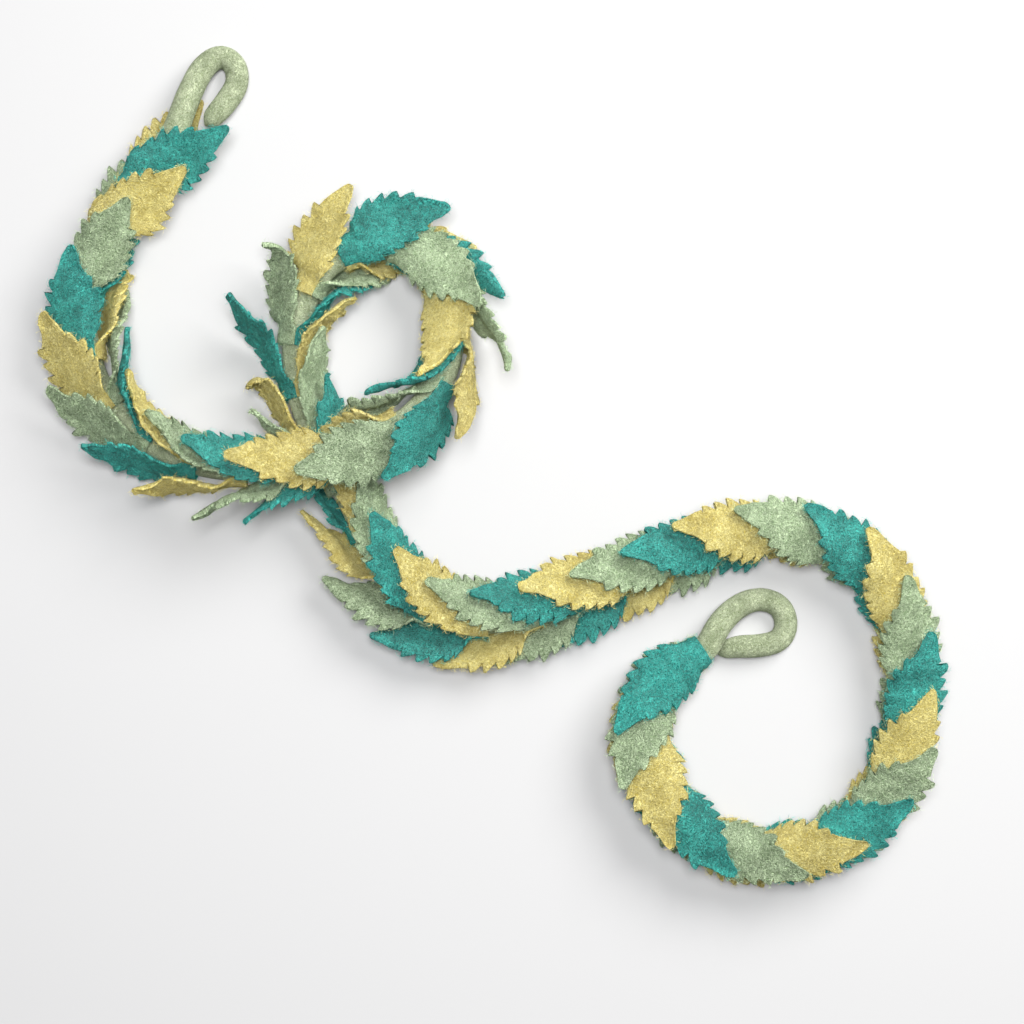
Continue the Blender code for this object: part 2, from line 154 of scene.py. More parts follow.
# End loops: columns x, y, z in millimetres and share of the rope's radius
LOOP_B = (
    (152, -110, 17.0, 0.98), (166, -98, 9.0, 0.94), (181, -93.5, 6.1, 0.9), (194.5, -98.5, 6.1, 0.9),
    (199, -111, 6.1, 0.9), (194, -122, 6.1, 0.9), (179, -126, 6.1, 0.9), (166, -126.5, 6.2, 0.88),
    (157, -128.5, 5.2, 0.72), (150, -131, 4.0, 0.5),
)
LOOP_A = (
    (-216, 257, 16.5, 0.98), (-207, 277, 8.6, 0.94), (-195, 285, 6.1, 0.9), (-185.5, 278.5, 6.1, 0.9),
    (-184, 266, 7.2, 0.9), (-190, 254, 11.0, 0.9), (-198, 244, 12.2, 0.84), (-206, 236, 10.4, 0.6),
)

ROW_COLOURS = {1: ("teal", "sage", "mustard"), 2: ("sage", "mustard", "teal")}

# Cut of one fine leaf, from its root at 0 to its tip: columns distance from the root and half the
# width without the teeth
HALF_WIDTHS = (
    (0.0, 16.5), (8.0, 16.5), (18.0, 18.8), (28.0, 21.0), (39.0, 21.2), (49.0, 18.6), (57.0, 14.4),
    (63.0, 10.8), (69.0, 7.8), (75.0, 5.4), (78.8, 3.9), (80.7, 2.8), (81.6, 1.8), (LEAF_LENGTH, 0.9),
)

# Teeth: height over the plain edge, depth of the notch under it, and how far a tip leans forward; the
# least lean is a share of that, and leans a notch back
TOOTH_START = 18.0
TOOTH_END = 62.0
TEETH_A_SIDE = 5
TOOTH_RISE = 2.6
TOOTH_NOTCH = 2.1
TOOTH_LEAN = 2.4
LEAST_LEAN = -0.4

# A tooth climbs up to TOOTH_TOP and drops from TOOTH_DROPS on, as shares of its length
TOOTH_TOP = 0.74
TOOTH_DROPS = 0.8
TOOTH_SWELL = 1.3
BELOW_ONE = 0.9999

# Unevenness of the cut by hand: width of the leaf past its collar, size of a tooth, and shift of one
# side's teeth; it starts and ends softly
CUT_WIDTHS = (0.88, 0.97)
TOOTH_SIZES = (0.62, 1.2)
TEETH_SHIFT = 2.5
UNEVEN_FROM = 14.0
UNEVEN_TO = 78.0
UNEVEN_FADES = 10.0
FULL_WIDTH_TO = 12.0

# Rows of the leaf's grid: at the root, in each tooth as shares of its length, and at the tip
ROOT_ROWS = (0.0, 0.3, 0.9, 3.0, 5.5, 8.0, 11.0, 14.0, 17.0)
TOOTH_ROWS = (0.02, 0.2, 0.4, 0.6, 0.74, 0.83, 0.9, 0.96)
TIP_ROWS = (63.5, 66.0, 69.0, 72.0, 75.0, 77.4, 79.2, 80.6, 81.4)

# Columns of the grid: those of a rounded edge, as distance from it and share of the thickness there,
# and the inner ones, which stay so far from the notches and within these shares of the half width
EDGE_INSETS = (0.9, 0.3, 0.0)
EDGE_SHARES = (1.0, 0.78, 0.38)
INNER_COLUMNS = 11
EDGE_BAND = 1.6
MOST_INNER = 0.72
LEAST_INNER = 0.3

# Thickness that the felt shows, and how close anything comes to the surface it lies on
FELT_SHOWN = 2.3
LEAST_HEIGHT = 0.02

# Waves of hand-made felt: columns length of a wave and share of the height; their number for each
# length, and their height on a leaf
WAVE_LENGTHS = ((38.0, 0.5), (19.0, 0.3), (9.0, 0.2))
WAVES_OF_A_LENGTH = 3
WAVES = 0.45

# Lift of a leaf off the one below: of its edges, with a ripple along them, and of the part past
# COVERED, which no other leaf holds down. A pair is the least and the most that one leaf draws.
TIP_LIFT = 5.6
TIP_LIFTS = (0.25, 1.0)
COVERED = 42.0
FREE_OVER = 20.0
EDGE_LIFT = 0.95
EDGE_FROM = 0.55
EDGE_OVER = 0.5
EDGE_LIFTS = (0.1, 1.0)
RIPPLE = 0.6
RIPPLES = 3.0
RIPPLE_PACES = (6.0, 11.0)
RIPPLE_PHASES = (0.0, 6.28)

# Neck of the leaf next to loop B: columns distance from the root, slant and depth of a crease
CREASES = ((13.0, 0.25, 1.3), (19.5, -0.35, 1.0), (26.0, 0.1, 0.6))
CREASE_WIDTH = 1.9
NECK_DRAWN_IN = 1.4
NECK_LENGTH = 7.0

# Felt's pattern: millimetres in one of its units, and how large the sheet is that leaves are cut from
PATTERN_UNIT = 100.0
FELT_SHEET = 9.0

# Seeds of the draws: the leaves of row 1 start at 1000 and those of row 2 at 2000
SEEDS_A_ROW = 1000
ROPE_SEED = 7

# Fine rope: spacing of its rings, unevenness, rounding of its two ends, and its place in the felt
ROPE_STEP = 2.5
LOOP_PARTS = 10
LINE_SOFTENED = 3
ROPE_UNEVEN = 0.012
ROPE_END = 6.0
ROPE_END_SHARE = 0.02
ROPE_TONE = 0.5
ROPE_CUT_FROM = (3.0, 1.0, 0.0)

# Nap: short bent fibres standing off the felt. Bend and rise of the ends are shares of the length,
# sizes are times the length, leans are radians about three axes, and the pace spreads their seeds.
FIBRE_LENGTH = 3.6
FIBRE_THICK = 0.17
FIBRE_SIDES = 3
FIBRE_BEND = 0.16
FIBRE_ENDS_RISE = (-0.04, 0.06)
FIBRE_SIZES = (0.55, 1.35)
SEED_PACE = 10
LEAST_FIBRE_LEAN = (-0.5, -0.55, 0.0)
MOST_FIBRE_LEAN = (0.5, 0.12, 2.0 * math.pi)
FIBRES_PER_LEAF = 800
FIBRES_ON_ROPE = 8000

# How hairy the felt is: added at a leaf's edge, under a leaf, and where leaves hide the rope, which
# shows only along LOOP_LENGTH from each of its ends
EDGE_HAIR = 3.0
UNDERSIDE_HAIR = 0.3
HIDDEN_ROPE_HAIR = 0.04
LOOP_LENGTH = 170.0
LOOP_FADES = 10.0

# Felt: colours as red, green, blue in linear light; pale, main and deep. Pale also serves as painted
# highlight on the fibres, and deep serves for the clouds and as painted shade in the hollows
FELT_COLOURS = {
    "teal": ((0.11, 0.70, 0.60), (0.006, 0.268, 0.232), (0.0, 0.040, 0.036)),
    "mustard": ((1.0, 0.93, 0.43), (0.78, 0.645, 0.155), (0.33, 0.24, 0.025)),
    "sage": ((0.78, 0.94, 0.62), (0.315, 0.455, 0.235), (0.05, 0.085, 0.03)),
    "rope": ((0.86, 0.94, 0.66), (0.475, 0.585, 0.32), (0.12, 0.165, 0.06)),
}

# Fibres in the felt: noise scale, distortion and width of a fibre
COARSE_FIBRES = (44.0, 1.6, 0.10)
FINE_FIBRES = (80.0, 1.4, 0.10)
FIBRE_DETAIL = 1.5
FIBRE_ROUGHNESS = 0.55
FINE_SHARE = 0.75

# Hollows of the felt, which sink its relief and are darkened with painted shade, and cloudy stains:
# noise scale, detail, roughness and distortion, and the noise values at which they start and are full
HOLLOW_NOISE = (84.0, 3.0, 0.5, 0.8)
HOLLOW_RANGE = (0.44, 0.64)
CLOUD_NOISE = (7.5, 3.0, 0.6, 0.0)
CLOUD_RANGE = (0.36, 0.64)

# How strongly each shows, the hollows as painted shade and the pale fibres partly as painted highlight,
# and how far a clouded place goes from the main colour to the deep one
OWN_DEPTH = 0.62
CLOUD_DEPTH = 0.58
CLOUD_DEEP = 0.66
CLOUD_HIDES = 0.5
PAINTED_HOLLOW_SHADE = 0.62
PALE_FIBRES_AND_HIGHLIGHT = 0.76

# Relief of the felt: depth of a hollow against a fibre, strength, and height in metres
HOLLOW_SINKS = 0.7
FELT_BUMP = 0.9
FELT_RELIEF = 0.0008

# Surfaces: roughness and shine, and the felt's sheen
FELT_SURFACE = (0.95, 0.15)
NAP_SURFACE = (0.9, 0.15)
FLOOR_SURFACE = (0.9, 0.1)
FELT_SHEEN = 0.1
SHEEN_ROUGHNESS = 0.5

# Floor, in metres
FLOOR_REACH = 4.0
FLOOR_DROP = 0.0003
FLOOR_COLOUR = (0.535, 0.535, 0.54, 1.0)

# Camera: metres of the floor that fill the picture, place over it in millimetres, lens and sensor in
# millimetres, and how far it sees in metres
FRAME_WIDTH = 0.717
CAMERA_AT = (7.7 + TO_MIDDLE[0], -32.6 + TO_MIDDLE[1])
LENS = 85.0
SENSOR = 36.0
SEES_TO = 20.0

# Lights: columns name, place and size in metres, power and colour
LIGHTS = (
    ("window", (1.2, 1.15, 1.5), 1.5, 56.0, (1.0, 0.99, 0.97)),
    ("ceiling", (0.0, 0.2, 2.4), 0.9, 62.0, (1.0, 1.0, 1.0)),
)
SKY_COLOUR = (0.97, 0.98, 1.0, 1.0)
SKY_STRENGTH = 0.12


def smooth(x):
    """From 0 to 1, slow at both ends."""
    x = np.clip(x, 0.0, 1.0)
    return x * x * (3.0 - 2.0 * x)


class Rope:
    """A smooth curve through the route, with places and directions along it."""

    def __init__(self, route, spacing=1.0):
        line = smooth_line(route, ROUTE_PARTS)
        along = self.lengths(line)
        count = int(along[-1] / spacing) + 1
        even = np.linspace(0.0, along[-1], count)
        line = np.stack([np.interp(even, along, line[:, k]) for k in range(2)], axis=1)
        kernel = np.hanning(2 * ROUTE_SOFTENED + 1)
        kernel /= kernel.sum()
        ends = [np.repeat(end, ROUTE_SOFTENED, 0) for end in (line[:1], line[-1:])]
        padded = np.vstack([ends[0], line, ends[1]])
        soft = np.stack([np.convolve(padded[:, k], kernel, "valid") for k in range(2)], axis=1)
        soft[0], soft[-1] = line[0], line[-1]
        self.s = self.lengths(soft)
        self.xy = soft
        self.length = self.s[-1]
        way = np.gradient(soft, self.s, axis=0)
        self.way = way / np.linalg.norm(way, axis=1)[:, None]

    @staticmethod
    def lengths(line):
        return np.concatenate([[0.0], np.cumsum(np.linalg.norm(np.diff(line, axis=0), axis=1))])

    def centre(self, s):
        """Places on the rope; past either end the rope is taken as straight."""
        s = np.asarray(s, float)
        inside = np.clip(s, 0.0, self.length)
        xy = np.stack([np.interp(inside, self.s, self.xy[:, k]) for k in range(2)], axis=-1)
        xy = xy + (s - inside)[..., None] * self.direction(s)[..., :2]
        return np.concatenate([xy, np.full(xy.shape[:-1] + (1,), AXIS_HEIGHT)], axis=-1)

    def direction(self, s):
        inside = np.clip(s, 0.0, self.length)
        way = np.stack([np.interp(inside, self.s, self.way[:, k]) for k in range(2)], axis=-1)
        way = way / np.linalg.norm(way, axis=-1)[..., None]
        return np.concatenate([way, np.zeros(way.shape[:-1] + (1,))], axis=-1)


def root_places(rope):
    """Distance along the rope of every leaf pair's root."""
    even = np.linspace(FIRST_ROOT, rope.length - LAST_ROOT_FROM_END, STATIONS)
    shifts = np.array(ROOT_SHIFTS)
    return even + np.interp(np.arange(STATIONS), shifts[:, 0], shifts[:, 1])


def lie(rope, s):
    """Turns and swings of both rows, in radians, at a distance along the rope."""
    station = np.interp(s, root_places(rope), np.arange(STATIONS))
    table = np.array(LIE, float)
    fine = np.arange(0.0, STATIONS - 1 + LIE_STEP / 2, LIE_STEP)
    kernel = np.hanning(2 * LIE_SOFTENED + 1)
    kernel /= kernel.sum()
    columns = []
    for values in table[:, 1:].T:
        values = np.interp(fine, table[:, 0], values)
        ends = [np.full(LIE_SOFTENED, end) for end in (values[0], values[-1])]
        padded = np.concatenate([ends[0], values, ends[1]])
        columns.append(np.radians(np.interp(station, fine, np.convolve(padded, kernel, "valid"))))
    return columns


def stand_off(rope, row, root, s):
    """How far a stiff leaf stands off the rope where the rope bends away from under it.

    It adds up the bend between the leaf's root and s, so that a leaf always lies further out
    than the next one.
    """
    inside = rope.s
    turn = lie(rope, inside)[row - 1]
    heading = np.unwrap(np.arctan2(rope.way[:, 1], rope.way[:, 0]))
    bend = np.maximum(0.0, np.gradient(heading, inside) * np.sin(turn)) * np.gradient(inside)
    total, moment = np.cumsum(bend), np.cumsum(bend * inside)
    at_s, at_root = (np.interp(x, inside, total) for x in (s, root))
    moment_s, moment_root = (np.interp(x, inside, moment) for x in (s, root))
    return STIFFNESS * np.maximum(0.0, s * (at_s - at_root) - moment_s + moment_root)


def row_frame(rope, s, turn):
    """Sideways and outward directions of a leaf row."""
    way = rope.direction(s)
    up = np.zeros_like(way)
    up[..., 2] = 1.0
    right = np.cross(way, up)
    turn = np.asarray(turn)[..., None]
    outward = np.cos(turn) * up + np.sin(turn) * right
    return np.cross(way, outward), outward


def near_crossing(xy):
    """1 at the crossing, falling to 0 away from it."""
    far = np.linalg.norm(xy - np.array(CROSSING), axis=-1)
    return 1.0 - smooth((far - CROSSING_FLAT_RADIUS) / (CROSSING_REACH - CROSSING_FLAT_RADIUS))


def cross_over(points, station):
    """Presses the strand that runs under the crossing and lifts the one that runs over it."""
    points = points.copy()
    near = near_crossing(points[:, :2])
    points[:, 2] *= 1.0 - CROSSING_SQUEEZE * near
    if station > LAST_STATION_UNDER:
        points[:, 2] += CROSSING_LIFT * near
    return points


def unroll(rope, root, row):
    """The rope's line under one leaf, unrolled into the leaf's own plane.

    A leaf follows the rope's bend out of its plane, but only gives way to a share of the bend in its
    plane. The columns are: distance along the rope, distance along the leaf, heading in the plane,
    and place x, y.
    """
    s = np.arange(root - UNROLLED_BACK, root + UNROLLED_LENGTH, 1.0)
    way = rope.direction(s)
    heading = np.unwrap(np.arctan2(way[:, 1], way[:, 0]))
    bend = np.gradient(heading, s)
    turn = lie(rope, s)[row - 1]
    out = COLLAR_RADIUS + SHINGLE_SLOPE * np.maximum(0.0, s - root) + stand_off(rope, row, root, s)
    stretch = np.clip(1.0 + out * bend * np.sin(turn), LEAST_STRETCH, MOST_STRETCH)
    stretch = np.hypot(stretch, np.gradient(out, s))
    at_root = int(np.abs(s - root).argmin())
    along = np.cumsum(stretch)
    along -= along[at_root]
    angle = np.cumsum(-IN_PLANE_SHARE * bend * np.cos(turn))
    angle -= angle[at_root]
    place = np.stack([np.cumsum(stretch * np.cos(angle)), np.cumsum(stretch * np.sin(angle))], axis=1)
    place -= place[at_root]
    return s, along, angle, place


def on_unrolled(line, laid):
    """Distance along the rope and distance sideways of points laid in the leaf's plane."""
    s, along, angle, place = line
    at = laid[:, 0].copy()
    for _ in range(SEARCH_ROUNDS):
        heading = np.interp(at, along, angle)
        off = laid - np.stack([np.interp(at, along, place[:, k]) for k in range(2)], axis=1)
        ahead = off[:, 0] * np.cos(heading) + off[:, 1] * np.sin(heading)
        at = at + SEARCH_PACE * np.clip(ahead, -SEARCH_STEP, SEARCH_STEP)
    sideways = off[:, 1] * np.cos(heading) - off[:, 0] * np.sin(heading)
    return np.interp(at, along, s), sideways


def curl(station, row, u):
    """How far a curled tip stays back along the row and rises off it, at a distance from the root."""
    back, rise = np.zeros(u.shape), np.zeros(u.shape)
    for at, which, start, degrees in CURLED:
        if (at, which) == (station, row):
            length = np.maximum(0.0, u - start)
            angle = math.radians(degrees) * length / (LEAF_LENGTH - start)
            radius = (LEAF_LENGTH - start) / math.radians(degrees)
            back = length - radius * np.sin(angle)
            rise = radius * (1.0 - np.cos(angle))
    return back, rise


def drape(rope, station, row, flat):
    """Lays a flat leaf on the rope: points of its middle surface in millimetres."""
    root = root_places(rope)[station]
    u, v = flat[:, 0], flat[:, 1]
    mine, other = (0, 1) if row == 1 else (1, 0)
    at_root = lie(rope, root)
    line = unroll(rope, root, row)
    bend = np.interp(LEAF_LENGTH, line[1], line[2])
    swing = at_root[mine + 2] + FOLLOW * bend / 2
    held = 1.0 - smooth((u - COLLAR_LENGTH) / (COLLAR_OPENS_AT - COLLAR_LENGTH))
    angle = swing * smooth((u - COLLAR_LENGTH) / (SWINGS_BY - COLLAR_LENGTH))
    cosine, sine = np.cos(angle), np.sin(angle)
    laid = np.stack([u * cosine - v * sine, u * sine + v * cosine], axis=1)
    s, a = on_unrolled(line, laid)

    # Outwards: on the collar, the shingled leaves below and the rope's bend, arched over the rope
    columns = lie(rope, s)
    turn, facing = columns[mine], columns[other]
    gap = np.mod(facing - turn, 2.0 * math.pi)
    gap = np.where(a < 0, 2.0 * math.pi - gap, gap)
    wedge = 1.0 / np.tan(np.clip(gap / 2, WEDGE_WIDEST, WEDGE_GONE))
    wedge = np.abs(a) * np.maximum(0.0, wedge)
    arch = ARCH_DEPTH * (1.0 - np.exp(-(a / ARCH_WIDTH) ** 2))
    b = COLLAR_RADIUS + SHINGLE_SLOPE * (s - root) + stand_off(rope, row, root, s) - arch
    leaning = smooth((math.pi - gap) / ROWS_LEAN_BY) * smooth(np.abs(a) / ARCH_WIDTH)
    b = b * (1.0 - EDGES_CLOSE * leaning) + wedge
    back, rise = curl(station, row, u)
    b = b + rise

    # Round the rope where the collar is sewn, and from there over to the open leaf
    apart = np.mod(at_root[other] - at_root[mine], 2.0 * math.pi)
    span = np.clip(apart, LEAST_COLLAR_SPAN, 2.0 * math.pi - LEAST_COLLAR_SPAN)
    collar_turn = at_root[mine] + (apart - span) / 2
    span = np.where(v < 0, 2.0 * math.pi - span, span) / 2
    theta = span * v / plain_half(0.0)
    a = held * COLLAR_RADIUS * np.sin(theta) + (1.0 - held) * a
    b = held * COLLAR_RADIUS * np.cos(theta) + (1.0 - held) * b
    s = held * (root + u) + (1.0 - held) * s
    turn = held * collar_turn + (1.0 - held) * turn
    sideways, outward = row_frame(rope, s, turn)
    points = rope.centre(s) + a[:, None] * sideways + b[:, None] * outward
    points -= back[:, None] * rope.direction(s)

    # Never below the surface, and spread sideways where it is pressed up
    lowest = LYING_SLOPE * np.maximum(0.0, LEAF_LENGTH - FLAT_TIP - (s - root)) + FELT / 2
    short = (1.0 - held) * np.maximum(0.0, lowest - points[:, 2])
    points[:, :2] += SPREADS * short[:, None] * outward[:, :2]
    points[:, 2] += short
    return cross_over(points, station)


def smooth_line(points, parts):
    """A curve through rows of numbers, with so many parts between each two rows."""
    p = np.array(points, float)
    p = np.vstack([2 * p[0] - p[1], p, 2 * p[-1] - p[-2]])
    line = []
    for a, b, c, d in zip(p[:-3], p[1:-2], p[2:-1], p[3:]):
        for t in np.linspace(0.0, 1.0, parts, endpoint=False):
            line.append(0.5 * (2 * b + (c - a) * t + (2 * a - 5 * b + 4 * c - d) * t ** 2
                               + (3 * b - a - 3 * c + d) * t ** 3))
    line.append(p[-2])
    return np.array(line)


def plain_half(u):
    """Half the width of the leaf without its teeth."""
    stops, halves = zip(*HALF_WIDTHS)
    return np.interp(u, stops, halves)


def tooth(u, sizes):
    """Height of the saw edge over the plain edge: it climbs towards the tip and drops steeply."""
    along = np.clip((u - TOOTH_START) / (TOOTH_END - TOOTH_START), 0.0, BELOW_ONE) * TEETH_A_SIDE
    phase = along % 1.0
    size = np.asarray(sizes)[along.astype(int)]
    inside = (u > TOOTH_START) & (u < TOOTH_END)
    climb = np.sin(0.5 * math.pi * np.clip(phase / TOOTH_TOP, 0.0, 1.0)) ** TOOTH_SWELL
    drop = 1.0 - smooth((phase - TOOTH_DROPS) / (1.0 - TOOTH_DROPS))
    high = np.where(phase < TOOTH_DROPS, climb, drop)
    return np.where(inside, size * (TOOTH_RISE + TOOTH_NOTCH) * high - TOOTH_NOTCH, 0.0)


def leaf_rows():
    """Distances from the root at which the leaf's grid has a row."""
    step = (TOOTH_END - TOOTH_START) / TEETH_A_SIDE
    toothed = [TOOTH_START + (i + share) * step for i in range(TEETH_A_SIDE) for share in TOOTH_ROWS]
    return np.array([*ROOT_ROWS, *toothed, TOOTH_END, *TIP_ROWS, LEAF_LENGTH])


def flat_leaf(rng):
    """Grid of one flat leaf, cut by hand: distance from the root, sideways, and share of thickness."""
    rows = leaf_rows()
    wide = rng.uniform(*CUT_WIDTHS)
    plain = plain_half(rows) * (wide + (1.0 - wide) * (rows < FULL_WIDTH_TO))
    inner = np.minimum(plain - TOOTH_NOTCH - EDGE_BAND, plain * MOST_INNER)
    inner = np.maximum(inner, plain * LEAST_INNER)
    shifted = smooth((rows - UNEVEN_FROM) / UNEVEN_FADES) * smooth((UNEVEN_TO - rows) / UNEVEN_FADES)
    sides, leans = [], []
    for _ in range(2):
        shift = rng.uniform(-TEETH_SHIFT, TEETH_SHIFT) * shifted
        saw = tooth(rows + shift, rng.uniform(*TOOTH_SIZES, TEETH_A_SIDE))
        half = plain + saw
        sides.append([half - np.minimum(inset, 0.5 * (half - inner)) for inset in EDGE_INSETS])
        leans.append((half, TOOTH_LEAN * np.clip(saw / TOOTH_RISE, LEAST_LEAN, 1.0)))
    across = [inner * share for share in np.linspace(-1.0, 1.0, INNER_COLUMNS)]
    v = np.stack([-column for column in reversed(sides[0])] + across + sides[1], axis=1)
    middle = v.shape[1] // 2
    u = np.repeat(rows[:, None], v.shape[1], axis=1)
    for (half, lean), part in zip(leans, (slice(0, middle), slice(middle, None))):
        pull = np.clip((np.abs(v[:, part]) - inner[:, None]) / (half - inner)[:, None], 0.0, 1.0)
        u[:, part] += lean[:, None] * pull
    edges = len(EDGE_INSETS)
    shares = np.ones(v.shape)
    shares[:, :edges] = EDGE_SHARES[::-1]
    shares[:, -edges:] = EDGE_SHARES
    from_end = np.minimum(rows, LEAF_LENGTH - rows)
    shares *= np.interp(from_end, EDGE_INSETS[::-1], EDGE_SHARES[::-1])[:, None]
    return u, v, shares


def unit(vectors):
    """The same directions with a length of 1."""
    return vectors / np.maximum(np.linalg.norm(vectors, axis=-1), TINY)[..., None]


def outward_of(middle):
    """Directions away from the rope, at every point of a leaf's grid; a tooth takes that of its foot."""
    beside = len(EDGE_INSETS) + 1
    normal = unit(np.cross(np.gradient(middle, axis=1), np.gradient(middle, axis=0)))
    foot = np.pad(normal[:, beside:-beside], ((0, 0), (beside, beside), (0, 0)), mode="edge")
    toothed = smooth((leaf_rows() - COLLAR_LENGTH) / (TOOTH_START - COLLAR_LENGTH))[:, None, None]
    return unit(normal + (foot - normal) * toothed)


def new_mesh(name, points, faces, flat):
    """A smooth mesh from points in millimetres, with its place on the flat felt as a UV map.

    The place on the felt is given for every point, or for every corner of every face.
    """
    mesh = bpy.data.meshes.new(name)
    mesh.from_pydata((points + (*TO_MIDDLE, 0.0)) * MM, [], faces)
    uv = mesh.uv_layers.new(name="Flat")
    if len(flat) == len(points):
        corners = np.empty(len(mesh.loops), np.int32)
        mesh.loops.foreach_get("vertex_index", corners)
        flat = flat[corners]
    uv.data.foreach_set("uv", flat.ravel())
    mesh.polygons.foreach_set("use_smooth", np.ones(len(mesh.polygons), bool))
    return mesh


def cloth_mesh(name, middle, shares, flat):
    """A closed sheet round a grid of middle points, with softly rounded edges."""
    off = outward_of(middle) * (shares * FELT_SHOWN / 2)[..., None]
    points = np.concatenate([(middle + off).reshape(-1, 3), (middle - off).reshape(-1, 3)])
    points[:, 2] = np.maximum(points[:, 2], LEAST_HEIGHT)
    count = middle.shape[0] * middle.shape[1]
    index = np.arange(count).reshape(middle.shape[:2])
    a, b, c, d = index[:-1, :-1], index[1:, :-1], index[1:, 1:], index[:-1, 1:]
    top = np.stack([a, d, c, b], axis=-1).reshape(-1, 4)
    rim = np.concatenate([index[:-1, 0], index[-1, :-1], index[:0:-1, -1], index[0, :0:-1]])
    following = np.roll(rim, -1)
    edge = np.stack([rim, following, following + count, rim + count], axis=1)
    faces = np.concatenate([top, top[:, ::-1] + count, edge]).tolist()
    return new_mesh(name, points, faces, np.concatenate([flat.reshape(-1, 2)] * 2))


def add_piece(name, mesh, material, colour, *nodes):
    """One piece of the garland, and the solids of the part that it stands for."""
    piece = bpy.data.objects.new(name, mesh)
    bpy.context.scene.collection.objects.link(piece)
    mesh.materials.append(material)
    mesh.update()
    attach(piece, "root")
    if nodes:
        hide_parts(*nodes)
    return piece


def mark_cloth(mesh, tone, shift, hairy):
    """A piece's own depth of colour, its place on the sheet of felt, and how hairy each point is."""
    points = len(mesh.vertices)
    mesh.attributes.new("tone", "FLOAT", "POINT").data.foreach_set("value", np.full(points, tone))
    mesh.attributes.new("hairy", "FLOAT", "POINT").data.foreach_set("value", hairy)
    cut = mesh.attributes.new("cut_from", "FLOAT_VECTOR", "POINT")
    cut.data.foreach_set("vector", np.tile(shift, points))


def soft_waves(rng, u, v, height):
    """Unevenness of hand-made felt, as a few slow waves over the flat felt."""
    total = np.zeros(u.shape)
    for wavelength, share in WAVE_LENGTHS:
        for _ in range(WAVES_OF_A_LENGTH):
            angle, phase = rng.uniform(0.0, 2.0 * math.pi, 2)
            along = u * math.cos(angle) + v * math.sin(angle)
            total += share * np.sin(along * 2.0 * math.pi / wavelength + phase)
    return height * total


def uneven(rng, u, v):
    """Waves of the whole leaf, and edges and a tip that lift off the leaf below, each in its own way."""
    free = smooth((u - COVERED) / FREE_OVER)
    rise = soft_waves(rng, u, v, WAVES)
    edge = smooth((np.abs(v) / plain_half(u) - EDGE_FROM) / EDGE_OVER)
    edge *= smooth((u - UNEVEN_FROM) / UNEVEN_FADES) + free
    for side in (v < 0.0, v >= 0.0):
        lift = rng.uniform(*EDGE_LIFTS)
        phase = rng.uniform(*RIPPLE_PHASES)
        pace = rng.uniform(*RIPPLE_PACES)
        ripple = RIPPLE * (1.0 + np.sin(u / pace * RIPPLES + phase))
        rise = rise + EDGE_LIFT * edge * side * (lift + ripple)
    return rise + TIP_LIFT * rng.uniform(*TIP_LIFTS) * free


def gathered(u, v):
    """How the leaf next to loop B is drawn in round the rope and creased behind its neck."""
    neck = -NECK_DRAWN_IN * (1.0 - smooth(u / NECK_LENGTH))
    for at, slant, depth in CREASES:
        neck -= depth * np.exp(-((u - at - slant * v) / CREASE_WIDTH) ** 2)
    return neck


def make_leaf(rope, station, row, materials):
    """One felt leaf, laid on the rope and on the leaf below it."""
    rng = np.random.default_rng(SEEDS_A_ROW * row + station)
    grid = flat_leaf(rng)
    u, v, shares = grid
    middle = drape(rope, station, row, np.stack([u.ravel(), v.ravel()], axis=1)).reshape(*u.shape, 3)
    rise = uneven(rng, u, v)
    if station == 0:
        rise = rise + gathered(u, v)
    middle = middle + outward_of(middle) * rise[..., None]
    middle[..., 2] = np.maximum(middle[..., 2], FELT_SHOWN / 2)
    colour = ROW_COLOURS[row][station % 3]
    flat = np.stack([u / PATTERN_UNIT, v / PATTERN_UNIT + 0.5], axis=-1)
    mesh = cloth_mesh(f"leaf_{station:02d}_row_{row}", middle, shares, flat)
    hairy = 1.0 + EDGE_HAIR * (shares.ravel() < 1.0)
    hairy = np.concatenate([hairy, UNDERSIDE_HAIR * hairy])
    mark_cloth(mesh, rng.uniform(0.0, 1.0), rng.uniform(0.0, FELT_SHEET, 3), hairy)
    piece = add_piece(mesh.name, mesh, materials[colour], colour, f"leaf_pair_{station:02d}")
    return colour, piece


def rope_line(rope):
    """Centreline and share of the rope's radius, from the tail of loop B to the tail of loop A."""
    near = smooth_line([(*rope.centre(0.0), 1.0)] + list(LOOP_B), LOOP_PARTS)[1:]
    far = smooth_line([(*rope.centre(rope.length), 1.0)] + list(LOOP_A), LOOP_PARTS)[1:]
    s = np.arange(0.0, rope.length, ROPE_STEP)
    core = np.column_stack([rope.centre(s), np.ones(len(s))])
    line = np.vstack([near[::-1], core, far])
    along = Rope.lengths(line[:, :3])
    even = np.arange(0.0, along[-1], ROPE_STEP)
    line = np.stack([np.interp(even, along, line[:, k]) for k in range(4)], axis=1)
    for _ in range(LINE_SOFTENED):
        line[1:-1] = (line[:-2] + 2.0 * line[1:-1] + line[2:]) / 4.0
    return line, even


